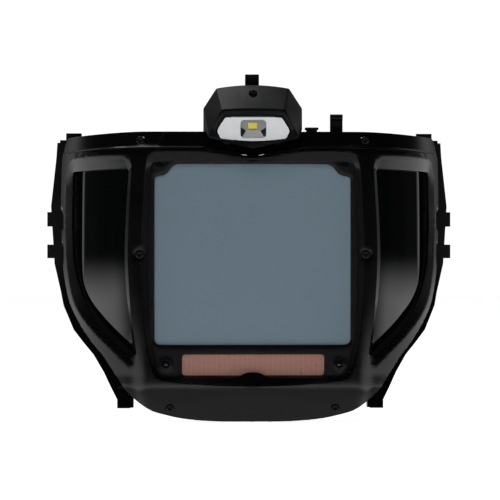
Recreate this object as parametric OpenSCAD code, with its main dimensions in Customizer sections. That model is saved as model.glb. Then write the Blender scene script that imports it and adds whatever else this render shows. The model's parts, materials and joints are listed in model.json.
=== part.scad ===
// Front visor of a welding helmet: a wrap-round face shell with a large auto-darkening filter,
// two side windows and a headlamp, on a rear frame that fastens to the crown of the helmet.
// +Z is up and the face of the visor looks along -Y. The origin is the middle of the four
// fastening holes on the back of the rear frame. "Depth" below is the distance behind the
// plane of the shell's face, so Y = front_y + depth.

/* [Shell] */
// Half width of the flat middle of the face
flat_half = 50; // [46:0.5:52]
// How far each side reaches beyond the flat middle
side_a = 54.5; // [53:0.5:56]
// Depth of the ellipse that the sides wrap along
side_b = 94; // [90:1:98]
// Depth of the shell's rear edge
rear_d = 70; // [68:0.5:72]
// Wall of the shell
wall = 2.6; // [2.2:0.1:2.8]
// Height of the top edge over the origin
top_z = 62.5; // [62:0.1:63]
// Lowest point of the chin
chin_z = -86; // [-87:0.1:-85]

/* [Filter] */
// Width of the clear view
view_w = 100; // [96:0.5:101]
// Height of the clear view
view_h = 92; // [88:0.5:92.5]
// Width of the filter cartridge
cart_w = 110; // [109:0.5:110]
// Top of the cartridge
cart_top = 50.5; // [50.5:0.1:50.8]
// Bottom of the cartridge's front casing
cart_low = -66; // [-66.5:0.1:-66]
// Radius of a control knob
knob_r = 6.3; // [5.5:0.1:6.6]
// Radius of a coin cell
cell_r = 12.25; // [11:0.05:12.25]

/* [Rear frame] */
// Spacing of the fastening holes across the helmet
hole_across = 186; // [184:1:188]
// Spacing of the fastening holes up and down
hole_up = 60; // [56:1:62]
// Radius of a pilot hole for a 3 mm self-tapping screw
hole_r = 1.25; // [1.1:0.05:1.3]
// Half of the overall width, over the side lugs
lug_reach = 109.5; // [108:0.1:110]

/* [Lever and lamp button] */
// Radius of the lever's pivot pin
pin_r = 1; // [0.9:0.05:1.1]
// Middle of the lever across the helmet
lever_x = 43.3; // [43:0.1:43.6]
// Middle of the lamp button across the helmet
button_x = 30.5; // [30.3:0.1:30.8]

/* [Hidden] */
$fn = 48;
front_y = -78;       // the shell's face, in the row frame
running = 0.05;      // radial clearance of a turning shaft
gap = 0.2;           // clearance between pieces of one body
face_out = 1.5;      // how far the face stands in front of the plan curve
wrap_end = 75;       // angle at which the wrap ends
wrap_steps = 18;
level_h = 0.2;       // height of a level's slice
ridge_z = 54;        // the brow's ridge
brow_setback = 2.5;  // of the brow band's top edge
pocket_floor = 3.2;  // depth of the seat that the bezel lies on
seat_back = 4.4;

// Half width and height of the front shell's outline, from the chin up to the brow's ridge
LEVELS = [
    [25, chin_z], [42.5, -84], [53.5, -81], [64, -77], [70, -69], [80, -53], [91.5, -39],
    [98.5, -27], [101.8, -8], [103, 26], [102.6, 42], [101.5, ridge_z]
];
CHIN_BREAK_Z = -69;  // where the chin starts to slope back
// Side view of the shell's rear edge: depth and height
REAR_LOW_Z = -20;
REAR_LOW_D = 40;
// Side window on the right, in the front view
WINDOW = [
    [62, -50.4], [72.5, -42.4], [81.5, -34], [88.5, -24.8], [92.6, -13],
    [94.8, -3], [95.8, 15.5], [95, 40.5], [92.6, 43.5], [63.6, 43.5], [65.3, 20],
    [66.1, -3], [65, -22], [63.3, -37]
];
WINDOW_OUTER_FROM = 0;   // WINDOW points that the rubber seal covers, first and last
WINDOW_OUTER_TO = 8;
// Recess for the bezel, right half from the bottom up
POCKET_HALF = [
    [47, -66.5], [51.2, -62.5], [54.6, -45], [57.3, -17],
    [56.8, 10], [55, 39.5], [54.4, 48.5], [51.5, 52.3]
];
// Lamp in the front view, right half from the bottom up
LAMP_BASE_HALF = [[0, 54.2], [23.3, 59.4], [25.1, 63.2], [25.1, 74.9], [18.4, 84.8], [0, 86.2]];
LAMP_FACE_HALF = [[0, 53.2], [22.6, 58.3], [15.7, 72.7]];
LAMP_GLASS_HALF = [[0, 56.3], [16.7, 57.9], [18.4, 62.6], [13.7, 69.4]];
lamp_front = -14;
lamp_back = 12;
lamp_wall = 1.6;
led_z = 64.5;

side_screw_x = 57.5;
top_screw = [57.2, 57.9];
chin_screw = [42.1, -78.2];
lamp_screw_z = 81.3;
solar_w = 73.4;
solar_h = 11.6;
solar_z = -56.6;
SENSORS = [[47.4, 46.6], [-47.4, 46.6], [44.2, -55.8], [-44.2, -55.8]];
sensor_r = 2;
box_low = -78.2;     // bottom of the control box
box_top = -48;
box_back = 27;
KNOB_X = [-16, 0, 16];
knob_z = -57;
cell_x = 39.5;
cell_z = -62.8;
lever_d = 14;
lever_pin_z = 56.2;
lever_half = 3.2;
spring_wire = 0.35;

// ---- helpers ----

function mirror_x(p) = [for (i = [len(p) - 1 : -1 : 0]) [-p[i][0], p[i][1]]];
function both(half) = concat(half, mirror_x([for (p = half) if (p[0] > 0) p]));
function wrap_point(t, inset) =
    let (nx = side_b * sin(t), nd = side_a * cos(t), n = sqrt(nx * nx + nd * nd))
    [flat_half + side_a * sin(t) - inset * nx / n, side_b * (1 - cos(t)) + inset * nd / n];
function wrap_side(inset) = [for (i = [0 : wrap_steps]) wrap_point(wrap_end * i / wrap_steps, inset)];
function wrap_curve(inset) = concat(mirror_x(wrap_side(inset)), wrap_side(inset));
function unit(v) = v / norm(v);
function edge_normal(a, b) = let (e = unit(b - a)) [e[1], -e[0]];
function grown_corner(p, i, by) =
    let (
        n = len(p),
        before = edge_normal(p[(i + n - 1) % n], p[i]),
        after = edge_normal(p[i], p[(i + 1) % n])
    )
    p[i] + by * (before + after) / (1 + before * after);
// An anticlockwise outline moved outward by a distance, or inward when it is negative
function grown(p, by) = [for (i = [0 : len(p) - 1]) grown_corner(p, i, by)];
function rounded(w, h, r, steps = 5) = [
    for (c = [0 : 3]) for (i = [0 : steps])
        let (a = c * 90 + i * 90 / steps, sx = (c == 0 || c == 3) ? 1 : -1, sz = c < 2 ? 1 : -1)
        [sx * (w / 2 - r) + r * cos(a), sz * (h / 2 - r) + r * sin(a)]
];
function moved(p, x, z) = [for (q = p) [q[0] + x, q[1] + z]];

// A front-view outline, extruded from depth d0 to depth d1
module slab(outline, d0, d1)
    translate([0, front_y + d1, 0]) rotate([90, 0, 0]) linear_extrude(d1 - d0) polygon(outline);
module box(x0, x1, d0, d1, z0, z1)
    translate([x0, front_y + d0, z0]) cube([x1 - x0, d1 - d0, z1 - z0]);
module rod(x, z, r, d0, d1)
    translate([x, front_y + d1, z]) rotate([90, 0, 0]) cylinder(r = r, h = d1 - d0);
module two_sides() {
    children();
    mirror([1, 0, 0]) children();
}
// A plan-view outline, extruded from height z0 to z1
module plan(outline, z0, z1)
    translate([0, front_y, z0]) linear_extrude(z1 - z0) polygon(outline);
// A band that follows the wrap between two setbacks
module wrap_band(outer, inner, z0, z1)
    plan(concat(wrap_curve(outer), [for (p = mirror_x(wrap_curve(inner))) [-p[0], p[1]]]), z0, z1);
// A side-view outline, extruded across the helmet from x0 to x1
module across(outline, x0, x1)
    translate([x0, front_y, 0]) rotate([90, 0, 90]) linear_extrude(x1 - x0) polygon(outline);

// ---- shell and bezel ----

// A plan section of the shell: clipped to a half width, running back to a depth
module plan_level(z, half, inset, back)
    translate([0, front_y, z]) linear_extrude(level_h) intersection() {
        polygon(section(inset, back));
        translate([-half, -5]) square([2 * half, back + 5]);
    }
function section(inset, back) = concat(wrap_curve(inset), [
    [wrap_side(inset)[wrap_steps][0], back], [-wrap_side(inset)[wrap_steps][0], back]
]);
OUTLINE = both([for (level = LEVELS) level]);
// What lies in front of and below the sloping chin, moved into the shell by a distance
module below_chin(by) {
    a = [-face_out, CHIN_BREAK_Z] + by * CHIN_NORMAL - 3 * CHIN_DIR;
    across([a, [-40, a[1]], [-40, -110], a + 45 * CHIN_DIR], -120, 120);
}
CHIN_DIR = unit([9 + face_out, chin_z - CHIN_BREAK_Z]);
CHIN_NORMAL = [-CHIN_DIR[1], CHIN_DIR[0]];
module shell_body() difference() {
    intersection() {
        plan(section(-face_out, rear_d), chin_z - 1, ridge_z);
        slab(OUTLINE, -5, rear_d + 1);
    }
    below_chin(0);
}
module shell_hollow() difference() {
    intersection() {
        plan(section(wall - face_out, rear_d + 5), chin_z + wall, ridge_z + 5);
        slab(grown(both(concat(LEVELS, [[LEVELS[len(LEVELS) - 1][0], ridge_z + 20]])), -wall), -5, rear_d + 6);
    }
    below_chin(wall);
}
module face_room() {
    steps = 48;
    plan([for (i = [0 : steps - 1])
        [92 * cos(i * 360 / steps), 118 + 88 * sin(i * 360 / steps)]], -150, 150);
}
function cart_outline(by) = moved(
    rounded(cart_w + 2 * by, cart_top - cart_low + 2 * by, 6 + by),
    0, (cart_top + cart_low) / 2
);
module front_shell() color([0.06, 0.06, 0.065]) difference() {
    union() {
        difference() {
            shell_body();
            shell_hollow();
        }
        slab(both([[58.5, -68.3], [59.5, -40], [59.5, 40], [58.5, ridge_z]]), 0.5, seat_back);
        two_sides() rod(side_screw_x, 0, 4.5, 1.5, 8);
        two_sides() rod(chin_screw[0], chin_screw[1], 2.9, 6.5, 9.4);
    }
    // rear edge, slanting forward down to the chin
    across([[rear_d, REAR_LOW_Z], [REAR_LOW_D, chin_z - 1], [rear_d + 6, chin_z - 1], [rear_d + 6, REAR_LOW_Z]],
        -120, 120);
    face_room();
    slab(cart_outline(0.3), seat_back, 9);
    slab(grown(both(POCKET_HALF), gap), -3, pocket_floor);
    slab(grown(both(POCKET_HALF), -2), -3, 7);
    two_sides() slab(WINDOW, -3, 60);
    two_sides() rod(side_screw_x, 0, 3.6 + gap, -3, pocket_floor);
    two_sides() rod(side_screw_x, 0, 1.6, 0, 9);
    two_sides() rod(chin_screw[0], chin_screw[1], 2.2, -3, 6.2);
    two_sides() rod(chin_screw[0], chin_screw[1], 1.6, -3, 12);
}
module brow_band() color([0.06, 0.06, 0.065]) difference() {
    union() {
        difference() {
            hull() {
                plan_level(ridge_z + 0.1, 101.5, -face_out, rear_d);
                plan_level(top_z - level_h, 97.5, brow_setback, rear_d);
            }
            hull() {
                plan_level(ridge_z - 1, 101.5 - wall, wall - face_out, rear_d + 5);
                plan_level(top_z - wall - level_h, 95.9, brow_setback + wall - 1.2, rear_d + 5);
            }
        }
        two_sides() rod(top_screw[0], top_screw[1], 2.9, 3, 5.6);
        // ears for the lever's pin, and the lamp switch's shelf
        box(lever_x - 6, lever_x - lever_half - 0.3, 10.5, 17.5, 53.5, 60.5);
        box(lever_x + lever_half + 0.6, lever_x + 6.3, 10.5, 17.5, 53.5, 60.5);
        box(button_x - 6.5, button_x + 5, 9.4, 15, 50.9, 52.8);
        box(button_x - 6.5, button_x - 5, 9.4, 15, 50.9, 60.5);
    }
    face_room();
    two_sides() rod(top_screw[0], top_screw[1], 2.2, -3, 2.9);
    two_sides() rod(top_screw[0], top_screw[1], 1.1, -3, 7);
    // slots for the lever, the lamp button and the crown tab
    box(lever_x - lever_half - 0.3, lever_x + lever_half + 0.3, lever_d - 3, lever_d + 5, 59, 63);
    box(button_x - 3, button_x + 3, 9.6, 14.4, 59, 63);
    box(-4, 4, 15.2, 18.3, 59, 63);
    translate([lever_x - 8, front_y + lever_d, lever_pin_z]) rotate([0, 90, 0]) cylinder(r = pin_r, h = 16);
}
module lens_bezel() color([0.05, 0.05, 0.055]) difference() {
    union() {
        slab(both(POCKET_HALF), 0.9, pocket_floor);
        two_sides() rod(side_screw_x, 0, 3.6, 0.9, pocket_floor);
    }
    slab(grown(both(POCKET_HALF), -2.9), 0, 5);
    slab(grown(both(POCKET_HALF), -1.6), 2, 5);
    two_sides() rod(side_screw_x, 0, 1.6, 0, 5);
    two_sides() rod(side_screw_x, 0, 2.3, 0, 2.3);
}
module front_cover_lens() color([0.85, 0.9, 0.92, 0.4]) slab(grown(both(POCKET_HALF), -1.7), 2.1, 3.1);

// ---- filter cartridge ----

VIEW = [
    [view_w / 2 - 3, -view_h / 2], [view_w / 2, -view_h / 2 + 3], [view_w / 2, view_h / 2 - 7.5],
    [view_w / 2 - 5.5, view_h / 2 - 5.5], [view_w / 2 - 9, view_h / 2 - 1.5], [view_w / 2 - 12, view_h / 2]
];
module filter_front_case() color([0.07, 0.07, 0.075]) difference() {
    slab(cart_outline(0), 4.6, 14);
    slab(cart_outline(-2), 6.6, 15);
    slab(both(VIEW), 4, 7);
    slab(moved(rounded(solar_w, solar_h, 2), 0, solar_z), 4, 7);
    for (s = SENSORS) rod(s[0], s[1], sensor_r + running, 4, 7);
}
module filter_rear_case() color([0.1, 0.1, 0.105]) difference() {
    union() {
        slab(cart_outline(0), 14, 18);
        slab(moved(rounded(cart_w, box_top - box_low, 3), 0, (box_top + box_low) / 2), 14.05, box_back);
    }
    slab(rounded(view_w - 2, view_h - 4, 4), 13, 19);
    slab(moved(rounded(cart_w - 4, box_top - box_low - 4, 2), 0, (box_top + box_low) / 2), 16, box_back - 2);
    for (x = KNOB_X) rod(x, knob_z, 2 + running, 24, box_back + 1);
    for (s = [-1, 1]) rod(s * cell_x, cell_z, 13 + running, 24, box_back + 1);
    box(-13.2, -4.8, 24, box_back + 1, -73, -70);
    rod(12, -71.5, 3.6, 24, box_back + 1);
}
module uv_ir_filter() color([0.38, 0.45, 0.49]) slab(rounded(105, 95.5, 2), 6.7, 8.5);
module lcd_cell_outer() color([0.3, 0.38, 0.3]) slab(rounded(105, 95.5, 2), 8.6, 10.6);
module lcd_cell_inner() color([0.3, 0.38, 0.34]) slab(rounded(105, 95.5, 2), 10.7, 12.7);
module cell_foam() color([0.2, 0.2, 0.2]) difference() {
    slab(rounded(105, 95.5, 2), 12.8, 13.9);
    slab(rounded(view_w, view_h - 2, 3), 12, 15);
}
module solar_panel() color([0.53, 0.39, 0.34]) slab(moved(rounded(solar_w + 3, 13, 1), 0, solar_z - 0.3), 6.7, 8.2);
module arc_sensors() color([0.1, 0.1, 0.12]) for (s = SENSORS) rod(s[0], s[1], sensor_r, 4.7, 6.6);
module circuit_board() color([0.05, 0.3, 0.12]) difference() {
    box(-52, 52, 17.5, 19.1, -76, -51);
    for (x = [-50, 50]) rod(x, -53, 1, 17, 20);
}
module potentiometers() color([0.25, 0.3, 0.5]) for (x = KNOB_X) difference() {
    box(x - 4.5, x + 4.5, 19.1, 24.8, knob_z - 4.5, knob_z + 4.5);
    rod(x, knob_z, 2 + running, 21, 25);
}
module mode_switch() color([0.6, 0.6, 0.62]) difference() {
    box(-15, -3, 19.1, 24.8, -74.5, -68.5);
    box(-13.4, -4.6, 22.5, 25, -73, -70);
}
module test_switch() color([0.6, 0.6, 0.62]) box(9, 15, 19.1, 22.2, -74.5, -68.5);
module coin_cells() color([0.75, 0.75, 0.77]) two_sides() rod(cell_x, cell_z, cell_r, 19.4, 24.4);
module battery_cover(x) difference() {
    rod(x, cell_z, 13, 24.8, 27.8);
    box(x - 9, x + 9, 26.8, 28, cell_z - 1, cell_z + 1);
}
module battery_cover_left() color([0.12, 0.12, 0.12]) battery_cover(-cell_x);
module battery_cover_right() color([0.12, 0.12, 0.12]) battery_cover(cell_x);
module knob(x) union() {
    rod(x, knob_z, knob_r, box_back + 0.4, box_back + 4);
    rod(x, knob_z, 2, 21.2, box_back + 1);
    box(x - 0.7, x + 0.7, box_back + 3, box_back + 5, knob_z - 0.5, knob_z + knob_r - 0.6);
}
module shade_knob() color([0.15, 0.15, 0.15]) knob(KNOB_X[0]);
module sensitivity_knob() color([0.15, 0.15, 0.15]) knob(KNOB_X[1]);
module delay_knob() color([0.15, 0.15, 0.15]) knob(KNOB_X[2]);
module grind_slider() color([0.6, 0.1, 0.08]) union() {
    box(-13.5, -9, box_back + 0.3, box_back + 2.3, -73.6, -69.4);
    box(-12.6, -10, 23, box_back + 1, -72.7, -70.3);
}
module test_button() color([0.6, 0.1, 0.08]) union() {
    rod(12, -71.5, 3.3, 24, box_back + 1.6);
    rod(12, -71.5, 4.3, 23.5, 24.6);
}
module inner_cover_lens() color([0.85, 0.9, 0.92, 0.4]) slab(rounded(104, 93, 4), 18.1, 19.1);
module cartridge_clamps() color([0.08, 0.08, 0.08]) two_sides() difference() {
    union() {
        box(55.4, 60.2, 8.2, 20.3, -9, 9);
        box(52.6, 60.2, 18.2, 20.3, -9, 9);
    }
    rod(side_screw_x, 0, 1.5, 8, 18);
}

// ---- side windows ----

seal_out = 1.25;     // setbacks of the layers behind the shell's wall
lens_out = 2.2;
retainer_out = 4.3;
// Right-hand window outline, pulled in where the rubber lip shows
function seal_corner(i) = grown_corner(
    WINDOW, i, (i >= WINDOW_OUTER_FROM && i <= WINDOW_OUTER_TO) ? -2.2 : -0.3
);
module side_window() intersection() {
    wrap_band(lens_out, lens_out + 2, -60, 52);
    slab(grown(WINDOW, 2.4), -2, 60);
}
module side_seal() intersection() {
    wrap_band(seal_out, seal_out + 0.9, -60, 52);
    difference() {
        slab(grown(WINDOW, 2.4), -2, 60);
        slab([for (i = [0 : len(WINDOW) - 1]) seal_corner(i)], -3, 61);
    }
}
module side_retainer() intersection() {
    wrap_band(retainer_out, retainer_out + 2.2, -60, 52);
    difference() {
        slab(grown(WINDOW, 3), -2, 62);
        slab(grown(WINDOW, -1.4), -3, 63);
    }
}
module side_window_right() color([0.03, 0.06, 0.04]) side_window();
module side_window_left() color([0.03, 0.06, 0.04]) mirror([1, 0, 0]) side_window();
module side_seal_right() color([0.03, 0.03, 0.03]) side_seal();
module side_seal_left() color([0.03, 0.03, 0.03]) mirror([1, 0, 0]) side_seal();
module side_retainer_right() color([0.09, 0.09, 0.09]) side_retainer();
module side_retainer_left() color([0.09, 0.09, 0.09]) mirror([1, 0, 0]) side_retainer();

// ---- rear frame ----

// Outer edge of the rear frame, right half from the bottom up
FRAME_EDGE = [
    [68, -90], [70.5, -77], [74.3, -70], [78, -62.6], [83.6, -53.6], [89.8, -46.4], [94.6, -40.4],
    [100.4, -27.5], [103, -16], [105.5, -5], [107.4, 26], [104.5, 52.5], [103.4, 70]
];
function frame_line(by) = both([for (p = FRAME_EDGE) p + [by, 0]]);
frame_d = rear_d + 0.2;
stile_w = 13;        // width of the frame's side stiles
frame_back = -front_y;
module rear_frame() color([0.08, 0.08, 0.085]) difference() {
    union() {
        // side stiles and the slanted stiles below them
        intersection() {
            difference() {
                slab(frame_line(0), 30, frame_back);
                slab(frame_line(-stile_w), 29, frame_back + 1);
            }
            across([
                [REAR_LOW_D + 4.4, -81.4], [REAR_LOW_D + 11, -81.4], [frame_back, REAR_LOW_Z],
                [frame_back, 61], [frame_d, 61], [frame_d, REAR_LOW_Z]
            ], -120, 120);
            two_sides() box(62, 120, 30, 90, -81, 60.5);
        }
        // brow band, inside the shell's top
        intersection() {
            wrap_band(5.8, 9, 51.2, 59.4);
            box(-94, 94, 0, rear_d + 1, 51, 60);
        }
        two_sides() box(88.5, 95, 62, frame_d + 2, 51.6, 59);
        // chin bar and its arms
        slab(moved(rounded(116, 6, 1), 0, -73.2), 9.6, 12.6);
        two_sides() rod(chin_screw[0], chin_screw[1], 2.9, 9.6, 12.6);
        two_sides() box(39.2, 45, 9.6, 12.6, -78.2, -73);
        two_sides() box(55.5, 58, 9.6, 51, -76, -70.4);
        two_sides() box(57.5, 67, 48, 51, -76, -70.4);
        // fastening bosses
        for (x = [-1, 1], z = [-1, 1])
            rod(x * hole_across / 2, z * hole_up / 2, 4, 68, frame_back);
        two_sides() box(92, 96.5, frame_d, frame_back, -34, -26);
        // side lugs, corner tabs and lower tabs
        two_sides() across_lug(15.2, 23);
        two_sides() across_lug(-2, 5.4);
        two_sides() box(91, 99.3, frame_d + 1, frame_d + 4, 58, 65.7);
        two_sides() box(99, 102.6, frame_d + 1, frame_d + 4, 57, 62);
        two_sides() box(63.8, 70.7, 48.2, 52, -81.6, -70);
    }
    for (x = [-1, 1], z = [-1, 1])
        rod(x * hole_across / 2, z * hole_up / 2, hole_r, 70, frame_back + 1);
    two_sides() rod(top_screw[0], top_screw[1], 1, 4, 12);
    two_sides() rod(chin_screw[0], chin_screw[1], 1.5, 9, 13);
}
module across_lug(z0, z1)
    box(100, lug_reach, frame_d + 1, frame_d + 5, z0, z1);
module crown_tab() color([0.05, 0.05, 0.05]) union() {
    box(-3.6, 3.6, 15.6, 18, 54, 92.8);
    box(-3.6, 3.6, 9.2, 18, 54, 56.5);
}

// ---- headlamp ----

module lamp_form(by, front, back) hull() {
    slab(grown(both(LAMP_BASE_HALF), -by), 2, back);
    slab(grown(both(LAMP_FACE_HALF), -by), front, front + 0.5);
}
module lamp_housing() color([0.07, 0.07, 0.075]) difference() {
    lamp_form(0, lamp_front, lamp_back);
    lamp_form(lamp_wall, lamp_front + 2, lamp_back + 1);
    slab(both(LAMP_GLASS_HALF), lamp_front - 1, lamp_front + 3);
    box(-30, 30, -1.8, lamp_back + 2, 50, top_z + 0.2);
    rod(0, lamp_screw_z, 2.1, lamp_front, -1);
    rod(0, lamp_screw_z, 1.3, -2, 3);
}
module lamp_rear_cover() color([0.07, 0.07, 0.075]) difference() {
    union() {
        intersection() {
            slab(both(LAMP_BASE_HALF), lamp_back, lamp_back + 2.4);
            box(-30, 30, 0, 20, top_z + 0.2, 90);
        }
        rod(0, lamp_screw_z, 2.6, 3.4, lamp_back + 1);
    }
    rod(0, lamp_screw_z, 1.2, 3, lamp_back + 1);
}
module lamp_window() color([0.9, 0.95, 1, 0.4]) slab(grown(both(LAMP_GLASS_HALF), -0.1), lamp_front + 0.3, lamp_front + 1.6);
module reflector_form(by, front, back) hull() {
    slab(grown(both(LAMP_GLASS_HALF), -0.7 - by), front, front + 0.2);
    slab(moved(rounded(18 - 2 * by, 9 - 2 * by, 1), 0, led_z), back - 0.2, back);
}
module lamp_reflector() color([0.9, 0.9, 0.92]) difference() {
    reflector_form(0, lamp_front + 1.8, -3.6);
    reflector_form(0.9, lamp_front + 1.5, -3.2);
}
module lamp_led() color([0.95, 0.85, 0.3]) box(-2.6, 2.6, -4.4, -3.4, led_z - 1.8, led_z + 1.8);
module lamp_board() color([0.9, 0.9, 0.9]) box(-11, 11, -3.4, -2, led_z - 5.2, led_z + 5.2);
module lamp_battery() color([0.3, 0.4, 0.6]) box(-14, 14, 4, 11, 64.4, 76.8);

// ---- lamp button and lever ----

module lamp_button() color([0.04, 0.04, 0.045]) union() {
    box(button_x - 3.4, button_x + 3.4, 9.4, 14.6, 63.9, 65.1);
    box(button_x - 2.7, button_x + 2.7, 9.9, 14.1, 57.4, 64);
    box(button_x - 4, button_x + 4, 9.5, 14.5, 57.4, 58.4);
}
module lamp_switch() color([0.6, 0.6, 0.62]) box(button_x - 3, button_x + 3, 9.5, 14.5, 52.8, 55.8);
module lever_barrel(x0, x1, r)
    translate([x0, front_y + lever_d, lever_pin_z]) rotate([0, 90, 0]) cylinder(r = r, h = x1 - x0);
module release_lever() color([0.08, 0.08, 0.085]) difference() {
    union() {
        across([
            [lever_d - 0.9, lever_pin_z], [lever_d + 0.9, lever_pin_z],
            [lever_d + 0.9, 70.2], [lever_d - 0.9, 70.2]
        ], lever_x - lever_half, lever_x + lever_half);
        // curled finger edge
        translate([lever_x - lever_half, front_y + lever_d - 0.5, 70.4])
            rotate([0, 90, 0]) cylinder(r = 1.7, h = 2 * lever_half);
        lever_barrel(lever_x - lever_half, lever_x + 0.8, 2.1);
        // catch below the pivot
        across([
            [lever_d - 0.9, lever_pin_z], [lever_d - 0.9, 53], [lever_d + 4, 53],
            [lever_d + 4, 53.9], [lever_d + 0.9, 54.2], [lever_d + 0.9, lever_pin_z]
        ], lever_x - lever_half, lever_x + 0.8);
    }
    lever_barrel(lever_x - 5, lever_x + 5, pin_r + running);
    // room for the spring
    box(lever_x + 0.8, lever_x + 5, lever_d - 3, lever_d + 3, lever_pin_z - 3, lever_pin_z + 2.6);
}
module lever_pin() color([0.75, 0.75, 0.75]) lever_barrel(lever_x - 5.8, lever_x + 6.1, pin_r);
// Coils of the return spring, side by side round the pin
module lever_spring() color([0.7, 0.7, 0.7]) for (i = [0 : 2])
    translate([lever_x + 1.4 + i * 0.85, front_y + lever_d, lever_pin_z]) rotate([0, 90, 0])
        rotate_extrude() translate([1.6, 0]) circle(r = spring_wire, $fn = 16);

// ---- screws ----

module screw(x, z, head_r, shank_r, d0, d1) difference() {
    union() {
        rod(x, z, head_r, d0, d0 + 1.6);
        rod(x, z, shank_r, d0, d1);
    }
    for (a = [0, 90]) translate([x, front_y + d0, z]) rotate([0, a, 0]) cube([2.2, 1.4, 0.5], center = true);
}
module side_screws() color([0.1, 0.1, 0.1]) two_sides() screw(side_screw_x, 0, 2.2, 1.5, 0.7, 17.5);
module top_screws() color([0.1, 0.1, 0.1]) two_sides() screw(top_screw[0], top_screw[1], 2.1, 1, 1.3, 9);
module chin_screws() color([0.1, 0.1, 0.1]) two_sides() screw(chin_screw[0], chin_screw[1], 2.1, 1.5, 4.6, 12.4);
module lamp_screw() color([0.1, 0.1, 0.1]) screw(0, lamp_screw_z, 2, 1.2, -2.8, 12);

front_shell();
brow_band();
lens_bezel();
front_cover_lens();
filter_front_case();
filter_rear_case();
uv_ir_filter();
lcd_cell_outer();
lcd_cell_inner();
cell_foam();
solar_panel();
arc_sensors();
circuit_board();
potentiometers();
mode_switch();
test_switch();
coin_cells();
battery_cover_left();
battery_cover_right();
shade_knob();
sensitivity_knob();
delay_knob();
grind_slider();
test_button();
inner_cover_lens();
cartridge_clamps();
side_window_left();
side_window_right();
side_seal_left();
side_seal_right();
side_retainer_left();
side_retainer_right();
rear_frame();
crown_tab();
lamp_housing();
lamp_rear_cover();
lamp_window();
lamp_reflector();
lamp_led();
lamp_board();
lamp_battery();
lamp_button();
lamp_switch();
release_lever();
lever_pin();
lever_spring();
side_screws();
top_screws();
chin_screws();
lamp_screw();
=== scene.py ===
"""A welding helmet's front visor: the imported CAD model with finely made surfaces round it."""
import json
import math

import bmesh
import bpy
import numpy as np
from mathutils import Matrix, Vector, geometry, kdtree


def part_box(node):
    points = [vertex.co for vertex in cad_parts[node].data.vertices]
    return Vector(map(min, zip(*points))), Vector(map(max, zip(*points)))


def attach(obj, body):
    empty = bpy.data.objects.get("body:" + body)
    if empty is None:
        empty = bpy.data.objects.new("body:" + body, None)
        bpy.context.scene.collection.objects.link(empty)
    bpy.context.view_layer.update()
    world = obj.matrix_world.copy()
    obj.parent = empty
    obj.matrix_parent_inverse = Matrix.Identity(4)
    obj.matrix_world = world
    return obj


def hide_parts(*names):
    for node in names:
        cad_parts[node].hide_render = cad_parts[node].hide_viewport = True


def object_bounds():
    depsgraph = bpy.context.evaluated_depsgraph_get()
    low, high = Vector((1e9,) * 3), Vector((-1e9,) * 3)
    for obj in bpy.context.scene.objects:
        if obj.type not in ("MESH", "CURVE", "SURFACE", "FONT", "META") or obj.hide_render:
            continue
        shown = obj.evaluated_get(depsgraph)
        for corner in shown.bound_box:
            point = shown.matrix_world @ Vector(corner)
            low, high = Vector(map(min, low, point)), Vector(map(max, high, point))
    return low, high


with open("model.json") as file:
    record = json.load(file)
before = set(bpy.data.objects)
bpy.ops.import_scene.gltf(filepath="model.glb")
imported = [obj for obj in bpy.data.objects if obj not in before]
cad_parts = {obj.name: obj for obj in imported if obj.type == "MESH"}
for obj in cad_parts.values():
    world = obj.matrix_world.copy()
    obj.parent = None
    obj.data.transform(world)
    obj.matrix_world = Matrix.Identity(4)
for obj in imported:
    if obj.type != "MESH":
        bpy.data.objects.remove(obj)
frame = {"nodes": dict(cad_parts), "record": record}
SIZE_AT_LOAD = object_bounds()
NODES = frame["nodes"]
BODY_OF = {n: body for body, names in frame["record"]["behaviour"]["bodies"].items() for n in names}

# ---- the plan curve of the shell, in millimetres, as in the part's source ----

MM = 0.001
FACE_OUT = 1.5
FLAT, SIDE_A, SIDE_B = 50.0, 54.5, 94.0
FACE_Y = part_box("front_shell")[0].y / MM + FACE_OUT
WALL = 2.6
REAR = 70.0
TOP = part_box("brow_band")[1].z / MM
ANGLES = np.radians(np.linspace(0, 80, 600))


def smoothstep(low, high, v):
    f = np.clip((v - low) / (high - low), 0, 1)
    return f * f * (3 - 2 * f)


def side_curve(t, inset):
    """Sideways position and depth on the wrapped side, for an angle and a setback."""
    nx, nd = SIDE_B * np.sin(t), SIDE_A * np.cos(t)
    n = np.hypot(nx, nd)
    return FLAT + SIDE_A * np.sin(t) - inset * nx / n, SIDE_B * (1 - np.cos(t)) + inset * nd / n


_x, _d = side_curve(ANGLES, 0)
ARC = FLAT + np.concatenate([[0], np.cumsum(np.hypot(np.diff(_x), np.diff(_d)))])
FACE_X = side_curve(ANGLES, -FACE_OUT)[0]


def arc_at(x):
    """Distance along the face's curve for a sideways position."""
    a = np.abs(x)
    return np.sign(x) * np.where(a < FLAT, a, np.interp(a, FACE_X, ARC))


def x_at(s):
    a = np.abs(s)
    return np.sign(s) * np.where(a < FLAT, a, np.interp(a, ARC, FACE_X))


def wrapped(s, z, h):
    """A point h behind the face of the shell."""
    a = np.abs(s)
    t = np.where(a < FLAT, 0, np.interp(a, ARC, ANGLES))
    x, d = side_curve(t, h - FACE_OUT)
    x = np.where(a < FLAT, a, x)
    return np.stack([np.sign(s) * x, FACE_Y + d, z], -1) * MM


def flat(x, z, d):
    return np.stack(np.broadcast_arrays(x, FACE_Y + d, z), -1) * MM


# ---- outlines ----


def both(half):
    """A closed outline from its right half, given from the bottom up."""
    return half + [(-x, z) for x, z in reversed(half) if x > 0]


def cut_corners(points, rounds=2, cut=0.25):
    p = np.array(points, float)
    for _ in range(rounds):
        after = np.roll(p, -1, 0)
        p = np.stack([p + (after - p) * cut, after + (p - after) * cut], 1).reshape(-1, 2)
    return p


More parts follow.
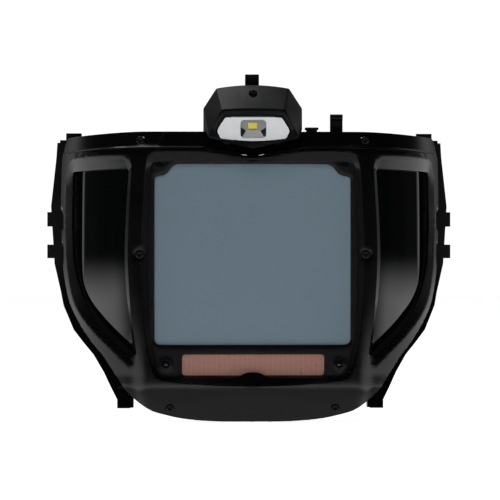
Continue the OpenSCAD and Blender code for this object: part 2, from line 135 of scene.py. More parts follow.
def soft_corners(points, tight):
    """A curve through gentle corners, with the sharp ones rounded to about a given radius."""
    p = np.array(points, float)
    out = []
    for before, at, after in zip(np.roll(p, 1, 0), p, np.roll(p, -1, 0)):
        a, b = before - at, after - at
        la, lb = np.linalg.norm(a), np.linalg.norm(b)
        bend = math.degrees(math.acos(np.clip(-(a @ b) / (la * lb), -1, 1)))
        reach = 0.48 * min(la, lb)
        if bend > 34:
            reach = min(reach, tight)
        start, end = at + a / la * reach, at + b / lb * reach
        for f in np.linspace(0, 1, 7):
            out.append((1 - f) ** 2 * start + 2 * f * (1 - f) * at + f * f * end)
    return np.array(out)


def circle(x, z, r, n=28):
    a = np.linspace(0, 2 * math.pi, n, endpoint=False)
    return np.stack([x + r * np.cos(a), z + r * np.sin(a)], -1)


def round_box(x, z, w, h, r, n=6):
    corners = [(1, 1, 0), (-1, 1, 90), (-1, -1, 180), (1, -1, 270)]
    return np.array([
        (x + sx * (w / 2 - r) + r * math.cos(math.radians(a + i * 90 / n)),
         z + sz * (h / 2 - r) + r * math.sin(math.radians(a + i * 90 / n)))
        for sx, sz, a in corners for i in range(n + 1)])


def spaced(loop, step, closed=True):
    p = np.asarray(loop, float)
    q = np.vstack([p, p[:1]]) if closed else p
    run = np.concatenate([[0], np.cumsum(np.hypot(*np.diff(q, axis=0).T))])
    n = max(6, round(run[-1] / step))
    at = np.linspace(0, run[-1], n + (0 if closed else 1), endpoint=not closed)
    return np.stack([np.interp(at, run, q[:, 0]), np.interp(at, run, q[:, 1])], -1)


def offset(loop, by):
    """A closed anticlockwise loop moved outward point by point."""
    run = np.roll(loop, -1, 0) - np.roll(loop, 1, 0)
    n = np.stack([run[:, 1], -run[:, 0]], -1)
    return loop + by * n / np.linalg.norm(n, axis=1, keepdims=True)


def inside(points, loop):
    x, z = points[:, 0][:, None], points[:, 1][:, None]
    a, b = loop, np.roll(loop, -1, 0)
    crosses = (a[:, 1] > z) != (b[:, 1] > z)
    with np.errstate(divide="ignore", invalid="ignore"):
        at = (b[:, 0] - a[:, 0]) * (z - a[:, 1]) / (b[:, 1] - a[:, 1]) + a[:, 0]
    return (crosses & (x < at)).sum(1) % 2 == 1


def distance(points, loop):
    """Distance from each point to a closed loop."""
    a, b = loop, np.roll(loop, -1, 0)
    best = np.full(len(points), 1e9)
    for p, q in zip(a, b):
        e = q - p
        f = np.clip(((points - p) @ e) / max(e @ e, 1e-12), 0, 1)
        best = np.minimum(best, np.linalg.norm(points - p - f[:, None] * e, axis=1))
    return best


# ---- mesh making ----


def triangulated(loops, creases, step):
    """Even triangles between an outer loop and its holes, with edges along the creases."""
    points, edges = [], []
    for line, closed in [(l, True) for l in loops] + [(c, False) for c in creases]:
        first = len(points)
        points += [tuple(p) for p in line]
        edges += [(first + i, first + i + 1) for i in range(len(line) - 1)]
        if closed:
            edges.append((len(points) - 1, first))
    tree = kdtree.KDTree(len(points))
    for i, p in enumerate(points):
        tree.insert((p[0], p[1], 0), i)
    tree.balance()
    low, high = loops[0].min(0), loops[0].max(0)
    gx, gz = np.meshgrid(np.arange(low[0], high[0], step), np.arange(low[1], high[1], step))
    grid = np.stack([gx.ravel(), gz.ravel()], -1)
    keep = inside(grid, loops[0])
    for hole in loops[1:]:
        keep &= ~inside(grid, hole)
    grid = [p for p in grid[keep] if tree.find((p[0], p[1], 0))[2] > 0.55 * step]
    found = geometry.delaunay_2d_cdt(
        [Vector(p) for p in points + [tuple(p) for p in grid]], edges, [], 0, 1e-6, False)
    verts = np.array([tuple(v) for v in found[0]])
    faces = np.array([f for f in found[2] if len(f) == 3])
    middle = verts[faces].mean(1)
    keep = inside(middle, loops[0])
    for hole in loops[1:]:
        keep &= ~inside(middle, hole)
    return verts, faces[keep]


def indices_of(loop, verts):
    tree = kdtree.KDTree(len(verts))
    for i, p in enumerate(verts):
        tree.insert((p[0], p[1], 0), i)
    tree.balance()
    return [tree.find((p[0], p[1], 0))[1] for p in loop]


def finish_mesh(name, bm, body, material, replaces=(), smooth_angle=32):
    bmesh.ops.recalc_face_normals(bm, faces=bm.faces)
    mesh = bpy.data.meshes.new(name)
    bm.to_mesh(mesh)
    bm.free()
    mesh.polygons.foreach_set("use_smooth", [True] * len(mesh.polygons))
    mesh.set_sharp_from_angle(angle=math.radians(smooth_angle))
    mesh.materials.append(material)
    piece = bpy.data.objects.new(name, mesh)
    bpy.context.scene.collection.objects.link(piece)
    even = piece.modifiers.new("even_shading", "WEIGHTED_NORMAL")
    even.keep_sharp, even.weight = True, 60
    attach(piece, body)
    if replaces:
        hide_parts(*replaces)
    return piece


def cover(outer, holes, place, front, back, step, creases=(), rear=None, wall=WALL, rounding=0.35):
    """A moulded wall: a front and a back surface over an outline with holes.

    front and back give a depth for arrays of positions. rear, if given, is the depth that the
    outline's edge runs straight back to, so that the wall turns the corner into a flange.
    """
    bm = bmesh.new()
    verts, faces = triangulated([outer] + list(holes), creases, step)
    face_co = place(verts[:, 0], verts[:, 1], front(verts[:, 0], verts[:, 1]))
    front_v = [bm.verts.new(c) for c in face_co]
    for f in faces:
        bm.faces.new([front_v[i] for i in f])
    if rear is None:
        inner, back_verts, back_faces = outer, verts, faces
    else:
        inner = offset(outer, -wall)
        back_verts, back_faces = triangulated([inner] + list(holes), [], step * 2)
    back_co = place(back_verts[:, 0], back_verts[:, 1], back(back_verts[:, 0], back_verts[:, 1]))
    back_v = [bm.verts.new(c) for c in back_co]
    for f in back_faces:
        bm.faces.new([back_v[i] for i in reversed(f)])

    def strip(a, b):
        n = len(a)
        for i in range(n):
            four = [a[i], a[(i + 1) % n], b[(i + 1) % n], b[i]]
            if len(set(four)) == 4 and not bm.faces.get(four):
                bm.faces.new(four)

    sharp = []
    for hole in holes:
        a = [front_v[i] for i in indices_of(hole, verts)]
        b = [back_v[i] for i in indices_of(hole, back_verts)]
        strip(a, b)
        sharp += [a, b]
    a = [front_v[i] for i in indices_of(outer, verts)]
    b = [back_v[i] for i in indices_of(inner, back_verts)]
    if rear is None:
        strip(a, b)
        sharp += [a, b]
    else:
        end = rear(outer[:, 0], outer[:, 1])
        a_end, b_end = [], []
        for v, w, d in zip(a, b, end):
            y = (FACE_Y + d) * MM
            a_end.append(bm.verts.new((v.co.x, max(y, v.co.y + 2 * MM), v.co.z)))
            b_end.append(bm.verts.new((w.co.x, max(y, v.co.y + 2 * MM, w.co.y + 0.5 * MM), w.co.z)))
        strip(a, a_end)
        strip(a_end, b_end)
        strip(b_end, b)
        sharp += [a, a_end, b_end]
    loose = [v for v in bm.verts if not v.link_faces]
    bmesh.ops.delete(bm, geom=loose, context="VERTS")
    bm.edges.ensure_lookup_table()
    edges = set()
    for ring in sharp:
        for v, w in zip(ring, ring[1:] + ring[:1]):
            if v.is_valid and w.is_valid:
                e = bm.edges.get((v, w))
                if e and len(e.link_faces) == 2:
                    edges.add(e)
    if rounding:
        bmesh.ops.bevel(bm, geom=list(edges), offset=rounding * MM, segments=2, profile=0.5,
                        affect="EDGES", clamp_overlap=True)
    return bm


def rounded_copy(node, material, width):
    """A CAD node's shape with its edges rounded, as moulded or machined."""
    bm = bmesh.new()
    bm.from_mesh(NODES[node].data)
    bmesh.ops.remove_doubles(bm, verts=bm.verts, dist=1e-6)
    bmesh.ops.dissolve_limit(bm, angle_limit=math.radians(1), verts=bm.verts, edges=bm.edges)
    sharp = [e for e in bm.edges if len(e.link_faces) == 2
             and e.calc_face_angle(0) > math.radians(28)]
    bmesh.ops.bevel(bm, geom=sharp, offset=width * MM, segments=2, profile=0.5,
                    affect="EDGES", clamp_overlap=True)
    finish_mesh(node + "_body", bm, BODY_OF[node], material, (node,))


def subtract(piece, cutters):
    for cutter in cutters:
        mod = piece.modifiers.new("cut", "BOOLEAN")
        mod.operation, mod.solver, mod.object = "DIFFERENCE", "EXACT", cutter
    graph = bpy.context.evaluated_depsgraph_get()
    mesh = bpy.data.meshes.new_from_object(piece.evaluated_get(graph))
    piece.modifiers.clear()
    piece.data = mesh
    for cutter in cutters:
        bpy.data.objects.remove(cutter)


def block(x0, x1, d0, d1, z0, z1, rounding=0.5):
    """A rounded box as a cutter or a part of a piece, in millimetres with depths."""
    bm = bmesh.new()
    bmesh.ops.create_cube(bm, size=1)
    for v in bm.verts:
        v.co = Vector(((x0 + x1) / 2 + v.co.x * (x1 - x0), FACE_Y + (d0 + d1) / 2 + v.co.y * (d1 - d0),
                       (z0 + z1) / 2 + v.co.z * (z1 - z0))) * MM
    if rounding:
        bmesh.ops.bevel(bm, geom=bm.edges[:], offset=rounding * MM, segments=3, profile=0.5,
                        affect="EDGES", clamp_overlap=True)
    return bm


def as_cutter(bm):
    mesh = bpy.data.meshes.new("cutter")
    bmesh.ops.recalc_face_normals(bm, faces=bm.faces)
    bm.to_mesh(mesh)
    bm.free()
    cutter = bpy.data.objects.new("cutter", mesh)
    bpy.context.scene.collection.objects.link(cutter)
    return cutter


def prism(loop_a, d_a, loop_b, d_b):
    """A solid between two outlines of the same number of points at two depths."""
    bm = bmesh.new()
    a = [bm.verts.new(c) for c in flat(np.array(loop_a)[:, 0], np.array(loop_a)[:, 1], d_a)]
    b = [bm.verts.new(c) for c in flat(np.array(loop_b)[:, 0], np.array(loop_b)[:, 1], d_b)]
    bm.faces.new(a)
    bm.faces.new(list(reversed(b)))
    for i in range(len(a)):
        j = (i + 1) % len(a)
        bm.faces.new((a[i], b[i], b[j], a[j]))
    return bm


def lathe(x, z, profile, n=40):
    """A turned shape about the Y direction at x, z; the profile is radius and depth."""
    bm = bmesh.new()
    rings = []
    for r, d in profile:
        if r < 1e-6:
            rings.append([bm.verts.new((x * MM, (FACE_Y + d) * MM, z * MM))])
        else:
            rings.append([bm.verts.new(((x + r * math.cos(2 * math.pi * i / n)) * MM, (FACE_Y + d) * MM,
                                        (z + r * math.sin(2 * math.pi * i / n)) * MM)) for i in range(n)])
    for a, b in zip(rings, rings[1:]):
        for i in range(n):
            j = (i + 1) % n
            if len(a) == 1:
                bm.faces.new((a[0], b[i], b[j]))
            elif len(b) == 1:
                bm.faces.new((a[i], b[0], a[j]))
            else:
                bm.faces.new((a[i], b[i], b[j], a[j]))
    return bm


def joined(parts):
    """Several separate solids in one mesh."""
    bm = bmesh.new()
    for part in parts:
        mesh = bpy.data.meshes.new("part")
        bmesh.ops.recalc_face_normals(part, faces=part.faces)
        part.to_mesh(mesh)
        part.free()
        bm.from_mesh(mesh)
        bpy.data.meshes.remove(mesh)
    return bm


# ---- materials ----


class Nodes:
    """A material's node tree, with short calls for what the materials here need."""

    def __init__(self, name):
        self.material = bpy.data.materials.new(name)
        self.material.use_nodes = True
        self.tree = self.material.node_tree
        self.shader = self.tree.nodes["Principled BSDF"]
        self.place = self.tree.nodes.new("ShaderNodeTexCoord").outputs["Object"]

    def set(self, **values):
        for key, value in values.items():
            self.shader.inputs[key.replace("_", " ")].default_value = value
        return self

    def link(self, a, b):
        self.tree.links.new(a, b)

    def scaled(self, x, y, z):
        node = self.tree.nodes.new("ShaderNodeMapping")
        node.inputs["Scale"].default_value = (x, y, z)
        self.link(self.place, node.inputs["Vector"])
        return node.outputs["Vector"]

    def noise(self, scale, detail=3.0, rough=0.55, vector=None):
        node = self.tree.nodes.new("ShaderNodeTexNoise")
        node.inputs["Scale"].default_value = scale
        node.inputs["Detail"].default_value = detail
        node.inputs["Roughness"].default_value = rough
        self.link(vector or self.place, node.inputs["Vector"])
        return node.outputs["Fac"]

    def ramp(self, value, low, high, out_low, out_high):
        node = self.tree.nodes.new("ShaderNodeMapRange")
        for key, number in zip(("From Min", "From Max", "To Min", "To Max"), (low, high, out_low, out_high)):
            node.inputs[key].default_value = number
        self.link(value, node.inputs["Value"])
        return node.outputs["Result"]

    def blend(self, factor, a, b):
        node = self.tree.nodes.new("ShaderNodeMix")
        node.data_type = "RGBA"
        node.inputs["A"].default_value = (*a, 1)
        node.inputs["B"].default_value = (*b, 1)
        self.link(factor, node.inputs["Factor"])
        return node.outputs["Result"]

    def bump(self, height, strength, distance, after=None):
        node = self.tree.nodes.new("ShaderNodeBump")
        node.inputs["Strength"].default_value = strength
        node.inputs["Distance"].default_value = distance
        self.link(height, node.inputs["Height"])
        if after:
            self.link(after, node.inputs["Normal"])
        self.link(node.outputs["Normal"], self.shader.inputs["Normal"])
        return node.outputs["Normal"]


def plastic(name, colour, rough, grain=0.25, grain_scale=2600, spread=0.05, **more):
    """Moulded plastic: fine spark-eroded grain, slightly uneven gloss and a faint tint drift."""
    m = Nodes(name).set(**{"Specular_IOR_Level": 0.5, **more})
    patches = m.noise(38, 4)
    m.link(m.ramp(patches, 0.3, 0.7, rough - spread, rough + spread), m.shader.inputs["Roughness"])
    dark = tuple(c * 0.82 for c in colour)
    m.link(m.blend(m.noise(120, 5), dark, tuple(c * 1.12 for c in colour)), m.shader.inputs["Base Color"])
    waves = m.bump(m.noise(90, 2), 0.05, 0.0004)
    m.bump(m.noise(grain_scale, 2), grain, 0.00004, waves)
    return m.material


def metal(name, colour, rough, brushed=(40, 40, 900)):
    m = Nodes(name).set(Metallic=1.0)
    lines = m.noise(60, 3, vector=m.scaled(*brushed))
    m.link(m.ramp(lines, 0.3, 0.7, rough * 0.8, rough * 1.3), m.shader.inputs["Roughness"])
    m.link(m.blend(lines, tuple(c * 0.85 for c in colour), colour), m.shader.inputs["Base Color"])
    m.bump(lines, 0.08, 0.00002)
    return m.material


SHELL_BLACK = plastic("shell_black_satin", (0.0013, 0.0013, 0.0016), 0.23, 0.1, spread=0.03,
                      Specular_IOR_Level=0.4)
BEZEL_BLACK = plastic("bezel_black_satin", (0.0013, 0.0014, 0.0018), 0.32, 0.12, Specular_IOR_Level=0.4)
CASE_BLACK = plastic("case_black_matt", (0.0016, 0.0016, 0.0019), 0.42, 0.12, Specular_IOR_Level=0.4)
FRAME_BLACK = plastic("frame_black_grain", (0.0014, 0.0014, 0.0016), 0.42, 0.4, 1500, Specular_IOR_Level=0.32)
LAMP_BLACK = plastic("lamp_black_grain", (0.0026, 0.0032, 0.0036), 0.34, 0.6, 1300,
                     Specular_IOR_Level=0.4, IOR=1.35)
CONTROL_BLACK = plastic("control_black", (0.012, 0.012, 0.013), 0.4, 0.3)
CONTROL_RED = plastic("control_red", (0.28, 0.02, 0.015), 0.35, 0.2)
RUBBER = plastic("seal_rubber", (0.0018, 0.0018, 0.002), 0.85, 0.4, 1800, Specular_IOR_Level=0.06)
BUTTON_BLACK = plastic("button_black", (0.005, 0.005, 0.005), 0.5, 0.35)
FOAM_BLACK = plastic("foam_black", (0.02, 0.02, 0.02), 0.9, 0.8, 900)
BOARD_GREEN = plastic("board_green", (0.01, 0.09, 0.03), 0.3, 0.1)
COMPONENT_BLUE = plastic("component_blue", (0.03, 0.08, 0.25), 0.4)
BATTERY_WRAP = plastic("battery_wrap", (0.08, 0.13, 0.24), 0.3)
SWITCH_METAL = metal("switch_metal", (0.55, 0.55, 0.56), 0.35)
CELL_STEEL = metal("cell_steel", (0.66, 0.66, 0.68), 0.22)
PIN_STEEL = metal("pin_steel", (0.6, 0.6, 0.61), 0.25, (900, 40, 40))
SCREW_BLACK = plastic("screw_black_oxide", (0.008, 0.008, 0.01), 0.3, 0.3, 3500, Metallic=0.5)


def clear(name, colour, alpha, rough=0.03):
    m = Nodes(name).set(Base_Color=(*colour, 1), Alpha=alpha, IOR=1.58)
    m.link(m.ramp(m.noise(60, 4), 0.3, 0.7, rough, rough + 0.02), m.shader.inputs["Roughness"])
    return m.material


COVER_CLEAR = clear("cover_clear", (0.01, 0.012, 0.014), 0.06)
LAMP_CLEAR = clear("lamp_clear", (0.02, 0.022, 0.024), 0.1)


def filter_glass():
    m = Nodes("filter_coating").set(IOR=1.5, Specular_IOR_Level=0.5, Roughness=0.07)
    drift = m.noise(9, 2)
    m.link(m.blend(m.ramp(drift, 0.35, 0.65, 0, 1), (0.176, 0.240, 0.287), (0.181, 0.246, 0.293)),
           m.shader.inputs["Base Color"])
    m.bump(m.noise(9, 1), 0.02, 0.0002)
    return m.material


def lcd_glass():
    m = Nodes("lcd_glass").set(Alpha=0.8, IOR=1.5)
    m.link(m.blend(m.noise(30, 3), (0.2, 0.29, 0.22), (0.26, 0.34, 0.28)), m.shader.inputs["Base Color"])
    m.link(m.ramp(m.noise(50, 3), 0.3, 0.7, 0.05, 0.12), m.shader.inputs["Roughness"])
    return m.material


def side_tint():
    m = Nodes("side_tint").set(IOR=1.6, Specular_IOR_Level=0.62)
    streaks = m.noise(60, 3, vector=m.scaled(2.5, 2.5, 0.12))
    m.link(m.blend(m.ramp(streaks, 0.35, 0.65, 0, 1), (0.0004, 0.0007, 0.0006), (0.0014, 0.0026, 0.0018)),
           m.shader.inputs["Base Color"])
    m.link(m.ramp(m.noise(70, 3), 0.3, 0.7, 0.02, 0.045), m.shader.inputs["Roughness"])
    m.bump(m.noise(14, 2), 0.03, 0.0006)
    return m.material


def solar_cell():
    """Amorphous cells: fine upright lines a little lighter than the brown between them."""
    m = Nodes("solar_cell").set(IOR=1.5)
    along = m.tree.nodes.new("ShaderNodeSeparateXYZ")
    m.link(m.place, along.inputs["Vector"])
    wave = m.tree.nodes.new("ShaderNodeMath")
    wave.operation = "PINGPONG"
    wave.inputs[1].default_value = 1.3 * MM
    m.link(along.outputs["X"], wave.inputs[0])
    line = m.ramp(wave.outputs[0], 0.00002, 0.00016, 1, 0)
    mottled = m.blend(m.noise(420, 4), (0.355, 0.177, 0.138), (0.395, 0.20, 0.157))
    mix = m.tree.nodes.new("ShaderNodeMix")
    mix.data_type = "RGBA"
    mix.inputs["B"].default_value = (0.47, 0.26, 0.21, 1)
    m.link(line, mix.inputs["Factor"])
    m.link(mottled, mix.inputs["A"])
    m.link(mix.outputs["Result"], m.shader.inputs["Base Color"])
    m.link(m.ramp(m.noise(300, 3), 0.3, 0.7, 0.25, 0.4), m.shader.inputs["Roughness"])
    return m.material


FILTER_GLASS = filter_glass()
LCD_GLASS = lcd_glass()
SIDE_TINT = side_tint()
SOLAR_CELL = solar_cell()
SOLAR_EDGE = plastic("solar_edge_red", (0.028, 0.005, 0.004), 0.5, Specular_IOR_Level=0.2)
SENSOR_DARK = plastic("sensor_dark", (0.004, 0.004, 0.006), 0.08, 0.0, spread=0.02, Coat_Weight=0.6)
BOARD_WHITE = plastic("board_white", (0.5, 0.51, 0.53), 0.35, 0.1)


def mirror():
    # the white emission is a painted glow: the mirror bowl lights itself instead of only reflecting the lamps
    m = Nodes("reflector_mirror_painted_glow").set(Metallic=1.0, Emission_Color=(1, 1, 1, 1), Emission_Strength=0.2)
    m.link(m.blend(m.noise(200, 3), (0.86, 0.87, 0.88), (0.95, 0.95, 0.96)), m.shader.inputs["Base Color"])
    m.link(m.ramp(m.noise(80, 3), 0.3, 0.7, 0.12, 0.22), m.shader.inputs["Roughness"])
    return m.material


def phosphor():
    m = Nodes("led_phosphor").set(Emission_Color=(1, 0.8, 0.15, 1), Emission_Strength=0.25)
    m.link(m.blend(m.noise(900, 3), (0.75, 0.58, 0.06), (0.85, 0.72, 0.12)), m.shader.inputs["Base Color"])
    m.link(m.ramp(m.noise(700, 2), 0.3, 0.7, 0.2, 0.4), m.shader.inputs["Roughness"])
    return m.material


MIRROR = mirror()
# the white emission is painted light: it brightens the recessed reflector face where the lamp housing shades
# it
REFLECTOR_SATIN = plastic("reflector_satin_painted_glow", (0.72, 0.74, 0.76), 0.3, 0.1, Emission_Color=(1, 1, 1, 1),
                          Emission_Strength=0.22)
PHOSPHOR = phosphor()

# ---- the shell and the brow ----

STEP = 1.5
OUTLINE = both([
    (0, -85.75), (20, -85.6), (36.5, -83.9), (48.2, -80.9), (54, -78.8), (63.4, -74.6), (69.9, -65.6),
    (79.4, -51), (82.6, -47.8), (90, -37.6), (96.2, -26), (99.7, -8), (101.1, 26), (100.6, 42),
    (99.9, 54), (99.6, 58), (99.4, 66)])
POCKET = both([
    (0, -66.9), (18, -66.5), (34, -65.3), (46.5, -63.7), (50.5, -61.2), (54.6, -45), (57.0, -17),
    (56.8, 10), (55, 39.5), (54.2, 48.5), (51.5, 52), (44, 52.6), (24, 52.5), (0, 48.2)])
WINDOW = [(62, -50.4), (72.5, -42.4), (81.5, -34), (88.5, -24.8), (92.6, -13), (94.8, -3), (95.8, 15.5),
          (95.2, 43.3), (63.6, 43.6), (65.3, 20), (66.1, -3), (65, -22), (63.3, -37)]
RIM = [(62.7, -57.3), (64.9, -56.6), (70.3, -51.8), (79.6, -43.3), (88.6, -33.3), (94, -23.9), (96.6, -10),
       (97.6, 0), (98.2, 16), (97.6, 40), (94.6, 50.2), (64.5, 49.6), (61.4, 46.3), (62.9, 20), (63.6, 0),
       (62.4, -30), (59.4, -50.5), (60.4, -56)]
CHIN_CREASE = [(0, -67), (17, -72), (30, -74.9), (39.5, -76.3), (50, -73.6), (62.5, -69.6), (70, -66)]
SIDE_SCREW = (57.5, 0.0)
TOP_SCREW = (57.2, 57.9)
CHIN_SCREW = (42.1, -78.2)


def to_arc(loop):
    loop = np.asarray(loop, float)
    return np.stack([arc_at(loop[:, 0]), loop[:, 1]], -1)


def ridge_z(x):
    """The ridge under the brow: nearly level, lower at the sides, with a V under the lamp."""
    a = np.abs(x)
    return 54.05 - 1.1 * smoothstep(55, 102, a) - 4.4 * np.clip(1 - a / 25, 0, 1) ** 1.15


def top_z(x):
    return TOP - 1.1 * smoothstep(55, 100, np.abs(x))


def ellipse_d(x):
    """Depth of the face room's edge."""
    return 118 - 88 * np.sqrt(np.clip(1 - (np.abs(x) / 92) ** 2, 0, 1))


WINDOW_ARC = spaced(to_arc(soft_corners(WINDOW, 1.5)), 0.9)
RIM_ARC = spaced(to_arc(soft_corners(RIM, 3.5)), 1.2)
POCKET_LOOP = spaced(cut_corners(POCKET, 2, 0.22), 1.2)


def chin_relief(x, z):
    a = np.abs(x)
    crease = np.interp(a, [p[0] for p in CHIN_CREASE], [p[1] for p in CHIN_CREASE])
    below = -68.5 - z
    soft = 0.5 * (below + np.sqrt(below * below + 6))
    draw_in = 3.0 * (np.clip(-2 - z, 0, 60) / 50) ** 2 * smoothstep(52, 64, a)
    return 0.58 * soft * (1 - smoothstep(62, 74, a)) + 0.2 * np.maximum(0, crease - z) + draw_in


def shell_front(s, z):
    x = x_at(s)
    h = chin_relief(x, z)
    p = np.stack([np.abs(s), z], -1)
    rim = np.nonzero(inside(p, RIM_ARC))[0]
    q = p[rim]
    to_window = np.where(inside(q, WINDOW_ARC), 0, distance(q, WINDOW_ARC))
    to_rim = distance(q, RIM_ARC)
    h[rim] += 1.75 * (to_rim / np.maximum(to_rim + to_window, 1e-6)) ** 0.9
    # scoops beside the lugs
    for middle in (18.6, 0.2):
        across = (np.abs(s) - arc_at(np.array(100.6))) / 5.2
        up = (z - middle) / 6.4
        h += 1.0 * (1 - smoothstep(0.55, 1.0, (across ** 4 + up ** 4) ** 0.25))
    # the edge tucks under the brow's lip
    h += 0.5 * (1 - smoothstep(0.2, 1.2, ridge_z(x) - z))
    return h


def shell_back(s, z):
    return chin_relief(x_at(s), z) + WALL


def shell_rear(s, z):
    x = x_at(s)
    slant = REAR + np.minimum(0, (z + 20)) * 30 / 67
    return np.where(np.abs(x) < 92, np.minimum(slant, ellipse_d(x)), slant)


outline = soft_corners(OUTLINE, 4)
right = outline[(outline[:, 0] > 0) & (outline[:, 1] < 52.4)]
right = right[np.argsort(right[:, 1])]
ridge_x = np.linspace(99.8, 0.0, 70)
ridge_run = np.stack([ridge_x, ridge_z(ridge_x) - 0.12], -1)
half = [tuple(p) for p in right if p[0] > 0.5]
half = [(0.0, -85.75)] + [p for p in half if p[1] < 52.3] + [tuple(p) for p in ridge_run if p[0] > 0.5]
half.append((0.0, float(ridge_z(np.array(0.0))) - 0.12))
shell_loop = spaced(to_arc(both(half)), 1.3)
window_l = np.stack([-WINDOW_ARC[::-1, 0], WINDOW_ARC[::-1, 1]], -1)
rim_l = np.stack([-RIM_ARC[::-1, 0], RIM_ARC[::-1, 1]], -1)
chin_holes = [to_arc(circle(s * CHIN_SCREW[0], CHIN_SCREW[1], 2.25)) for s in (1, -1)]


def ear_loop():
    """The pocket with a round ear on each side for the bezel's screws."""
    loop = POCKET_LOOP.copy()
    for sign in (1, -1):
        near = (np.sign(loop[:, 0]) == sign) & (np.abs(loop[:, 1]) < 3.7)
        loop[near, 0] = sign * np.maximum(
            np.abs(loop[near, 0]), SIDE_SCREW[0] + np.sqrt(np.maximum(0, 3.8 ** 2 - loop[near, 1] ** 2)))
    return loop


POCKET_EARS = to_arc(ear_loop())
crease_line = to_arc(spaced([(x, z) for x, z in CHIN_CREASE[:-1]], 1.4, False))
creases = [crease_line[1:-1], np.stack([-crease_line[::-1, 0], crease_line[::-1, 1]], -1)[1:-1]]
closed = [np.vstack([r, r[:1]]) for r in (RIM_ARC, rim_l)]
creases = [c for c in creases] + closed
shell_holes = [POCKET_EARS, WINDOW_ARC, window_l] + chin_holes
bm = cover(shell_loop, shell_holes, wrapped, shell_front, shell_back, STEP, creases,
           rear=shell_rear, rounding=0.45)
finish_mesh("front_shell_body", bm, "visor", SHELL_BLACK, ("front_shell",), 24)


def brow_front(s, z):
    x = x_at(s)
    above = z - ridge_z(x)
    lean = (3.9 - 2.4 * smoothstep(62, 96, np.abs(x))) * np.clip(above / 8.3, 0, 1.3) ** 1.15
    lip = 0.45 * smoothstep(0.4, 1.05, above)
    crease = 48.7 - 0.45 * (z - 54)
    facet = 0.45 * smoothstep(-0.6, 0.6, np.abs(x) - crease) * (1 - smoothstep(52, 66, np.abs(x)))
    return lean + lip + facet * smoothstep(0.6, 2.5, above)


def brow_back(s, z):
    return brow_front(s, z) + WALL


def brow_rear(s, z):
    x = x_at(s)
    roof = np.where(np.abs(x) < 92, np.minimum(REAR, ellipse_d(x)), REAR)
    d = wrapped(s, z, brow_front(s, z))[:, 1] / MM - FACE_Y
    low = (z < ridge_z(x) + 1.2) & (np.abs(x) < 100)
    return np.where(low, d + WALL, roof)


top_x = np.linspace(0, 98.6, 60)
brow_half = [(0.0, float(ridge_z(np.array(0.0))) + 0.12)]
brow_half += [tuple(p) for p in np.stack([ridge_x[::-1], ridge_z(ridge_x[::-1]) + 0.12], -1) if p[0] > 0.5]
brow_half += [(99.6, 56.0), (99.3, 59.0)]
brow_half += [tuple(p) for p in np.stack([top_x[::-1], top_z(top_x[::-1])], -1)]
brow_loop = spaced(to_arc(both(brow_half)), 1.2)
brow_holes = [to_arc(circle(s * TOP_SCREW[0], TOP_SCREW[1], 2.25)) for s in (1, -1)]
brow_lines = [[(48.7 + by - 0.45 * (z - 54), z) for z in (55.6, 57, 58.5, 60, 61.5)] for by in (-0.6, 0.6)]
brow_lines = [to_arc(line) for line in brow_lines]
brow_lines += [np.stack([-line[::-1, 0], line[::-1, 1]], -1) for line in brow_lines]
for above in (0.4, 1.05):
    lip_x = np.linspace(-98.8, 98.8, 190)
    brow_lines.append(to_arc(np.stack([lip_x, ridge_z(lip_x) + above], -1)))
bm = cover(brow_loop, brow_holes, wrapped, brow_front, brow_back, 1.1, brow_lines,
           rear=brow_rear, rounding=0.3)
finish_mesh("brow_band_body", bm, "visor", SHELL_BLACK, ("brow_band",), 24)

# ---- bezel and filter ----


def ring_ratio(p, outer, inner):
    """0 on the outer loop, 1 on the inner one."""
    a, b = distance(p, outer), distance(p, inner)
    return a / np.maximum(a + b, 1e-6)


BEZEL_OPENING = spaced(cut_corners(both([
    (0, -59.7), (3.5, -60.0), (7.8, -62.3), (20, -62.5), (45, -62.5), (48.2, -61), (51.6, -45), (54.0, -17),
    (53.9, 10), (52.6, 38), (52.2, 44), (51.2, 46.2), (48.8, 47.2), (24, 47.2), (0, 47.2)]), 2, 0.2), 1.1)
BEZEL_OUTER = offset(spaced(ear_loop(), 1.2), -0.22)
BEZEL_D = (0.9, 3.0)


def bezel_front(x, z):
    """Flat at the sides, scooped in under the brow and sloping in over the chin."""
    ratio = ring_ratio(np.stack([x, z], -1), BEZEL_OUTER, BEZEL_OPENING)
    slope = np.clip(smoothstep(43, 50, z) + (1 - smoothstep(-62, -57, z)), 0, 1)
    scoop = -1.0 + 2.95 * ratio ** 0.8
    return (BEZEL_D[0] + 0.6 * ratio) * (1 - slope) + scoop * slope


screw_holes = [circle(s * SIDE_SCREW[0], SIDE_SCREW[1], 2.3) for s in (1, -1)]
bm = cover(BEZEL_OUTER, [BEZEL_OPENING] + screw_holes, flat, bezel_front,
           lambda x, z: np.full_like(x, BEZEL_D[1]), 1.2, rounding=0.3)
finish_mesh("lens_bezel_body", bm, "visor", BEZEL_BLACK, ("lens_bezel",), 26)

VIEW = both([(0, -46.1), (46.9, -46.1), (48.6, -45.6), (49.7, -44.5), (50.1, -43), (50.1, 38.2), (49.7, 39.3),
             (48.6, 39.9), (46.2, 40.2), (44.0, 41.2), (42.4, 43.0), (41.2, 44.8), (39.6, 45.8), (37.4, 46.2),
             (0, 46.2)])
SOLAR = (0.3, -56.3, 73.6, 11.8)
SENSORS = [(47.4, 46.6), (-47.4, 46.6), (44.2, -55.8), (-44.2, -55.8)]
case_low, case_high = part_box("filter_front_case")
case_outer = spaced(round_box(0, (case_low.z + case_high.z) / 2 / MM, (case_high.x - case_low.x) / MM,
                              (case_high.z - case_low.z) / MM, 6), 1.5)
case_holes = [spaced(cut_corners(VIEW, 1, 0.2), 1.0), spaced(round_box(*SOLAR, 2), 0.8)]
case_holes += [circle(x, z, 2.05) for x, z in SENSORS]


